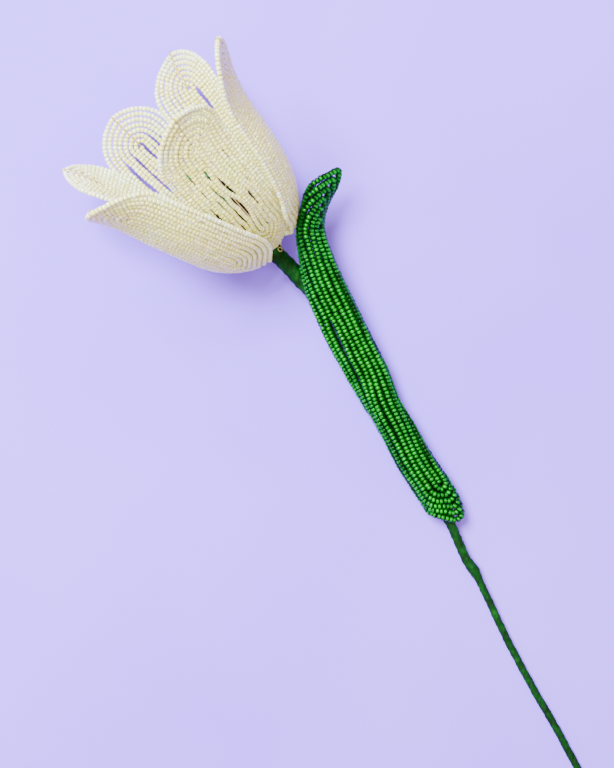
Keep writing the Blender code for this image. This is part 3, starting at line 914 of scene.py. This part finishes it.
black = black_glass()
rows, wires = [], []
for azimuth in STAMEN_AZIMUTHS:
    for side in (-1.0, 1.0):
        line = stamen_line(azimuth, side)
        if azimuth == STAMEN_AZIMUTHS[0]:
            line = line[:-SHORT_STEPS]
        wires.append(round_wire(line[::2], STAMEN_WIRE, 6))
        rows.append(spaced(line[BARE_STEPS:], STAMEN_STEP, STAMEN_GAPS))
place, way = strung(rows)
tone = rng.random(len(place))
stamens = bead_piece("stamen_beads", place, way, STAMEN_BEAD, STAMEN_LONG, tone, black, rng)
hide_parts("stamens")
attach(stamens, "root")
a = np.linspace(0.0, 2.0 * math.pi, 25)
for height in np.linspace(*COLLAR_SPAN, COLLAR_TURNS):
    turn = bloom_point(COLLAR_RADIUS, a, height)
    wires.append(round_wire(turn, COLLAR_WIRE, 6))
points, faces = join(wires)
stamen_wires = mesh_piece("stamen_wires", points, faces, brass)
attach(stamen_wires, "root")

# Stem
# A steel stem wire with the petals' tails bound round its top, all wrapped
# in waxed green crepe tape wound on a slant. The cut wire shows at the end.
STEM_WIRE = 0.9
TAPE_START = -3.0
WIRE_SHOWS = 3.0
# Radius of the taped stem at lengths along it.
TAPE_RADII = (
    (-3.0, 2.5),
    (0.0, 3.1),
    (25.0, 3.1),
    (45.0, 1.95),
    (112.0, 1.85),
    (138.0, 1.75),
    (142.0, 1.45),
    (300.0, 1.45),
)
# Length along the stem that one turn of tape covers.
TAPE_TURN = 11.0
TAPE_STEP = 0.45
TAPE_SIDES = 28
# Relief of the tape: step at its slanting edge, ripple along it, and how far
# the whole is sunk, so that the stem keeps its size.
TAPE_EDGE = 0.13
TAPE_RIPPLE = 0.05
TAPE_SINK = 0.16
# Creases: height, waves round the stem, and radians a millimetre along it.
CREASES = ((0.06, 3.0, 1.9), (0.05, 5.0, -3.1))
# Swellings where wire ends lie under the tape: height, place and spread.
SWELLINGS = ((0.35, 137.0, 3.0), (0.15, 28.0, 5.0))
# The top is rounded in from just above the start, over a length, by a root.
TAPE_ROUNDING = (-0.9, 1.2)
TAPE_ROOT = 0.4
# Least height of the tape over the board.
TAPE_CLEAR = 0.03
# Size of the streaks that stretching leaves in the crepe, in millimetres.
CREPE_STREAK = 3.85


def tape_radius(s, a):
    """Radius of the wound tape at lengths s and angles a.

    The stem's own radius, a step at the tape's slanting edge that falls off to
    the next turn with a sine for its ripple, a sine for each crease and a bell
    curve for each swelling. The tape's top is rounded in by a root.
    """
    marks, widths = np.array(TAPE_RADII).T
    slant = (s[:, None] / TAPE_TURN - a / (2.0 * math.pi)) % 1.0
    radius = np.interp(s, marks, widths)[:, None] - TAPE_SINK + TAPE_EDGE * (1.0 - slant)
    radius = radius + TAPE_RIPPLE * np.sin(6.0 * math.pi * slant + s[:, None] / 5.0)
    for height, round_it, along_it in CREASES:
        radius = radius + height * np.sin(a * round_it + s[:, None] * along_it)
    for height, place, spread in SWELLINGS:
        radius = radius + height * np.exp(-((s - place) / spread) ** 2)[:, None]
    return radius * smooth(through(s - TAPE_START, TAPE_ROUNDING))[:, None] ** TAPE_ROOT


def crepe_tape():
    """Waxed floral tape: thin green crepe paper, stretched as it is wound.

    To the eye: deep green with paler streaks along the winding and a dull,
    slightly waxy shine.
    """
    material, tree, surface = new_material("waxed crepe tape")
    place = add_node(tree, "ShaderNodeTexCoord")
    streak = add_node(
        tree,
        "ShaderNodeTexNoise",
        {"Scale": 1.0 / (CREPE_STREAK * MM), "Detail": 5.0, "Roughness": 0.65},
        {"Vector": place.outputs["Object"]},
    )
    colour = add_node(tree, "ShaderNodeValToRGB", None, {"Fac": streak.outputs["Fac"]})
    stops = colour.color_ramp.elements
    stops[0].position, stops[1].position = 0.34, 0.72
    stops[0].color = srgb("#031c05")
    stops[1].color = srgb("#0d4610")
    stops.new(0.52).color = srgb("#052d08")
    bump = add_node(
        tree,
        "ShaderNodeBump",
        {"Strength": 0.5, "Distance": 0.3 * MM},
        {"Height": streak.outputs["Fac"]},
    )
    shader = add_node(
        tree,
        "ShaderNodeBsdfPrincipled",
        {"Roughness": 0.6, "Specular IOR Level": 0.06},
        {"Base Color": colour.outputs["Color"], "Normal": bump.outputs["Normal"]},
    )
    tree.links.new(shader.outputs["BSDF"], surface)
    return material


def drawn_steel():
    """Drawn steel stem wire, bare where it was cut: plain grey with a soft shine."""
    return plain_material(
        "drawn steel wire",
        {"Base Color": srgb("#a8a6a2"), "Metallic": 1.0, "Roughness": 0.35},
    )


stem_length = float(follow(STEM_LINE, 0.0)[2])
s = np.arange(TAPE_START, stem_length - WIRE_SHOWS, TAPE_STEP)
neck_top = middle(0.0)
reach = float(np.linalg.norm(neck_top - STEM_LINE[0]))
line, way, _ = follow((tuple(neck_top),) + STEM_LINE, s + reach)
radius = tape_radius(s, 2.0 * math.pi * np.arange(TAPE_SIDES) / TAPE_SIDES)
first = unit(np.cross(way, (0.0, 0.0, 1.0)))
points, faces = tube_skin(line, first, np.cross(way, first), radius)
points[:, 2] = np.maximum(points[:, 2], TAPE_CLEAR)
tape = mesh_piece("stem_tape_wound", points, faces, crepe_tape())
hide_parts("stem_tape")
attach(tape, "root")
s = np.linspace(0.0, stem_length, 160)
line = np.vstack((middle(4.0), middle(1.5), follow(STEM_LINE, s)[0]))
points, faces = round_wire(line, STEM_WIRE, 12)
wire = mesh_piece("stem_wire_cut", points, faces, drawn_steel())
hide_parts("stem_wire")
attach(wire, "root")

# Leaf
# One long leaf of silver-lined emerald seed beads: a middle row with six
# loops round it, wired like a petal, folded round the stem and taped on.
LEAF_LOOPS = 6
LEAF_PITCH = 2.2
LEAF_HALF = 14.3
LEAF_FOOT = 1.14
LEAF_HEAD_POWER = 1.45
LEAF_HEAD_REACH = 1.70
LEAF_BEAD = 1.17
LEAF_LONG = 1.44
LEAF_STEP = 1.42
LEAF_SLACK = 0.05
LEAF_GAPS = (0.2, 0.0)
LEAF_SWAY = (0.12, 7.0)
LEAF_ENDS = 8.0
LEAF_SLITS = ((-4.5, 72.0, 89.0, 0.8),)
# The middle wire lies this far under the middle row and stops short of the tip.
LEAF_WIRE_UNDER = 0.9
LEAF_WIRE_SHORT = 1.2
LEAF_LINE = (
    (54.5, -51.0, 8.2),
    (52.3, -42.9, 8.4),
    (47.9, -35.6, 8.7),
    (41.8, -26.3, 8.9),
    (36.9, -16.1, 8.9),
    (31.9, -6.1, 9.0),
    (27.6, 5.8, 9.9),
    (21.9, 17.0, 11.7),
    (17.0, 27.0, 13.6),
    (12.0, 36.9, 15.7),
    (7.6, 47.1, 17.8),
    (4.6, 56.3, 19.7),
    (5.6, 65.6, 21.2),
    (12.2, 77.4, 22.9),
)
# Slope in degrees of each bead row to the next, from the middle row outwards,
# at points along the leaf: first to the left edge, then to the right edge.
LEAF_SECTIONS = (
    (0.00, (22, 5, -15, -40, -65, -90), (-10, -65, -100, -132, -155, -175)),
    (0.10, (28, 12, -12, -40, -68, -95), (-8, -68, -100, -130, -153, -172)),
    (0.20, (30, 12, -12, -40, -68, -95), (0, -75, -105, -135, -150, -160)),
    (0.34, (22, 10, -8, -35, -62, -88), (-60, -100, -130, -150, -165, -175)),
    (0.45, (12, 6, 2, -4, -14, -40), (-70, -100, -120, -140, -160, -175)),
    (0.60, (5, 3, 0, 0, -3, -12), (-75, -95, -110, -130, -150, -175)),
    (0.68, (12, 8, 2, -5, -22, -45), (-75, -92, -105, -120, -140, -160)),
    (0.79, (35, 25, 0, -40, -62, -80), (-80, -90, -95, -100, -110, -120)),
    (0.88, (50, 45, 0, -75, -85, -90), (-68, -78, -85, -90, -95, -95)),
    (0.93, (50, 44, 5, -60, -80, -90), (-60, -75, -85, -90, -90, -90)),
    (1.00, (40, 34, 0, -30, -60, -80), (-50, -65, -80, -85, -90, -90)),
)
LEAF_LENGTH = float(follow(LEAF_LINE, 0.0)[2])


def leaf_head(t):
    """Side of the leaf's head at half width 1, which narrows by a power of t."""
    return 1.0 - t ** LEAF_HEAD_POWER, LEAF_HEAD_REACH * t


def leaf_side(t, u, column):
    """Sideways and upward offset at a flat distance u from the middle row.

    Each row's width is laid down at its own slope, one after the other.
    """
    stations = [row[0] for row in LEAF_SECTIONS]
    sideways = [np.zeros_like(u)]
    upward = [np.zeros_like(u)]
    for k in range(LEAF_LOOPS):
        slopes = [row[column][k] for row in LEAF_SECTIONS]
        slope = np.radians(np.interp(t, stations, slopes))
        width = LEAF_PITCH if k < LEAF_LOOPS - 1 else 3.0 * LEAF_PITCH
        part = np.clip(u - k * LEAF_PITCH, 0.0, width)
        sideways.append(part * np.cos(slope))
        upward.append(part * np.sin(slope))
    return sum(sideways), sum(upward)


def leaf_point(u, y):
    """Middle surface of the leaf, u across it and y along it when laid flat.

    The leaf's line carries both sides' offsets, and past its ends it is straight.
    """
    place, way, _ = follow(LEAF_LINE, np.clip(y, 0.0, LEAF_LENGTH))
    past = y - np.clip(y, 0.0, LEAF_LENGTH)
    place = place + past[..., None] * way
    right = unit(np.stack((way[..., 1], -way[..., 0], np.zeros_like(y)), -1))
    up = np.cross(right, way)
    t = y / LEAF_LENGTH
    left_across, left_up = leaf_side(t, np.clip(-u, 0.0, None), 1)
    right_across, right_up = leaf_side(t, np.clip(u, 0.0, None), 2)
    across = (right_across - left_across)[..., None]
    return place + across * right + (left_up + right_up)[..., None] * up


def emerald_glass():
    """Silver-lined emerald glass: clear green glass over a mirror-bright hole.

    To the eye: a bright green dash painted on the top of each bead, a painted
    highlight for the lined hole's shine, and almost black green painted on its
    flanks, painted shade for the furrows between rows.
    """
    material, tree, surface = new_material("silver-lined emerald glass")
    # Painted light from the bead's own shape: a bright painted highlight on each bead's top
    # and dark painted shade on its flanks.
    painted_light_share = add_node(tree, "ShaderNodeAttribute", {"attribute_name": "painted_light_share"})
    painted_light_colour = add_node(tree, "ShaderNodeValToRGB", None, {"Fac": painted_light_share.outputs["Fac"]})
    stops = painted_light_colour.color_ramp.elements
    stops[0].position, stops[1].position = 0.3, 1.0
    stops[0].color = srgb("#002a04")
    stops[1].color = srgb("#00981c")
    for at, colour in ((0.60, "#004208"), (0.80, "#006414"), (0.92, "#008422")):
        stops.new(at).color = srgb(colour)
    tone = add_node(tree, "ShaderNodeAttribute", {"attribute_name": "tone"})
    each = add_node(tree, "ShaderNodeValToRGB", None, {"Fac": tone.outputs["Fac"]})
    each.color_ramp.elements[0].color = srgb("#a8b8a8")
    each.color_ramp.elements[1].color = srgb("#ffffff")
    mixed = add_node(
        tree,
        "ShaderNodeMix",
        {"data_type": "RGBA", "blend_type": "MULTIPLY", 0: 1.0},
        {6: painted_light_colour.outputs["Color"], 7: each.outputs["Color"]},
    )
    shader = add_node(
        tree,
        "ShaderNodeBsdfPrincipled",
        {
            "Metallic": 0.25,
            "Roughness": 0.2,
            "Specular IOR Level": 0.06,
            "Coat Weight": 0.04,
            "Coat Roughness": 0.03,
        },
        {"Base Color": mixed.outputs[2]},
    )
    tree.links.new(shader.outputs["BSDF"], surface)
    return material


def green_enamel():
    """Copper wire with green enamel, as strung through leaf beads: dark and glossy."""
    return plain_material(
        "green enamelled wire",
        {"Base Color": srgb("#0a3a10"), "Metallic": 0.3, "Roughness": 0.35},
    )


rng = np.random.default_rng(29)
rows, leaf_wires = [], []
for k in range(LEAF_LOOPS + 1):
    x, y = row_side(max(k * LEAF_PITCH, HAIR), LEAF_HALF, LEAF_FOOT, LEAF_LENGTH, leaf_head)
    for side in (1.0, -1.0) if k else (1.0,):
        sway = wave(y, LEAF_SWAY, 1.7 * k + side)
        sway = sway * smooth(np.minimum(y - y[0], y[-1] - y) / LEAF_ENDS)
        flat_x = part_slits(side * x + sway, y, side * k, LEAF_SLITS)
        line = np.hstack((leaf_point(flat_x, y), sheet_normal(leaf_point, flat_x, y)))
        rows.append(spaced(line, LEAF_STEP, LEAF_GAPS if k else (0.0, 0.0)))
        leaf_wires.append(round_wire(line[::3, :3], WIRE, 4))
places, way = strung(rows)
place = places[:, :3] + rng.normal(0.0, LEAF_SLACK, (len(places), 3))
place[:, 2] = np.maximum(place[:, 2], LEAF_BEAD)
tone = rng.random(len(place))
emerald = emerald_glass()
up = places[:, 3:]
leaf = bead_piece("leaf_beads", place, way, LEAF_BEAD, LEAF_LONG, tone, emerald, rng, up)
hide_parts("leaf")
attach(leaf, "root")
y = np.linspace(0.5, LEAF_LENGTH - LEAF_WIRE_SHORT, 160)
zero = np.zeros_like(y)
under = sheet_normal(leaf_point, zero, y)
under = under * -np.sign(under[:, 2:].mean())
head_start = LEAF_LENGTH - LEAF_HEAD_REACH * LEAF_HALF
sunk = LEAF_WIRE_UNDER * (1.0 - smooth((y - head_start) / 3.0))
line = leaf_point(zero, y) + sunk[:, None] * under
leaf_wires.append(round_wire(line, MIDDLE_WIRE, 6))
points, faces = join(leaf_wires)
leaf_wire = mesh_piece("leaf_wires", points, faces, green_enamel())
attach(leaf_wire, "root")

# Table and light
# A pale lilac painted board, soft daylight from above and the upper left,
# and a camera half a metre straight above the board.

# Picture height in pixels, millimetres of board to a pixel, camera height in
# metres, and height of the camera's film in millimetres.
PICTURE_HIGH = 768
BOARD_SCALE = 0.37
CAMERA_HEIGHT = 0.5
FILM_HIGH = 24.0
# Half the side of the board, in metres, and size of its cloudy patches.
BOARD_HALF = 3.0
BOARD_CLOUD = 143.0
# Lamps: place, aim, side, power and colour.
LAMPS = {
    "window": ((-0.12, 0.52, 0.90), (0.0, 0.08, 0.0), 0.42, 51.0, "#f1faff"),
    "ceiling": ((-0.2, -0.1, 1.7), (0.0, 0.0, 0.0), 1.6, 27.0, "#f3f8ff"),
}


def painted_board():
    """Lilac board paint, matt, with faint cloudy unevenness."""
    material, tree, surface = new_material("lilac board paint")
    place = add_node(tree, "ShaderNodeTexCoord")
    cloud = add_node(
        tree,
        "ShaderNodeTexNoise",
        {"Scale": 1.0 / (BOARD_CLOUD * MM), "Detail": 3.0},
        {"Vector": place.outputs["Object"]},
    )
    colour = add_node(tree, "ShaderNodeValToRGB", None, {"Fac": cloud.outputs["Fac"]})
    stops = colour.color_ramp.elements
    stops[0].position, stops[1].position = 0.3, 0.7
    stops[0].color = srgb("#875aff")
    stops[1].color = srgb("#9368ff")
    shader = add_node(
        tree,
        "ShaderNodeBsdfPrincipled",
        {"Roughness": 0.7, "Specular IOR Level": 0.15},
        {"Base Color": colour.outputs["Color"]},
    )
    tree.links.new(shader.outputs["BSDF"], surface)
    return material


data = bpy.data.meshes.new("floor")
corners = [(-1, -1), (1, -1), (1, 1), (-1, 1)]
corners = [(x * BOARD_HALF, y * BOARD_HALF, 0.0) for x, y in corners]
data.from_pydata(corners, [], [(0, 1, 2, 3)])
data.materials.append(painted_board())
floor = bpy.data.objects.new("floor", data)
bpy.context.scene.collection.objects.link(floor)

world = bpy.data.worlds.new("daylight")
bpy.context.scene.world = world
world.use_nodes = True
sky = world.node_tree.nodes["Background"]
sky.inputs["Color"].default_value = srgb("#f6eeb8")
sky.inputs["Strength"].default_value = 1.3


def soft_light(name, spot, aim, size, power, colour):
    """A square area lamp at a spot, turned to face an aim."""
    lamp = bpy.data.lights.new(name, "AREA")
    lamp.shape = "SQUARE"
    lamp.size = size
    lamp.energy = power
    lamp.color = srgb(colour)[:3]
    thing = bpy.data.objects.new(name, lamp)
    bpy.context.scene.collection.objects.link(thing)
    thing.location = spot
    thing.rotation_euler = (Vector(spot) - Vector(aim)).to_track_quat("Z", "Y").to_euler()


for name, lamp in LAMPS.items():
    soft_light(name, *lamp)

lens = bpy.data.cameras.new("camera")
lens.sensor_fit = "VERTICAL"
lens.sensor_height = FILM_HIGH
lens.lens = FILM_HIGH * CAMERA_HEIGHT / (PICTURE_HIGH * BOARD_SCALE * MM)
lens.clip_start = 0.01
camera = bpy.data.objects.new("camera", lens)
camera.location = (-LIE_SHIFT[0] * MM, -LIE_SHIFT[1] * MM, CAMERA_HEIGHT)
camera.rotation_euler = (0.0, 0.0, -LIE_TURN)
bpy.context.scene.collection.objects.link(camera)
bpy.context.scene.camera = camera
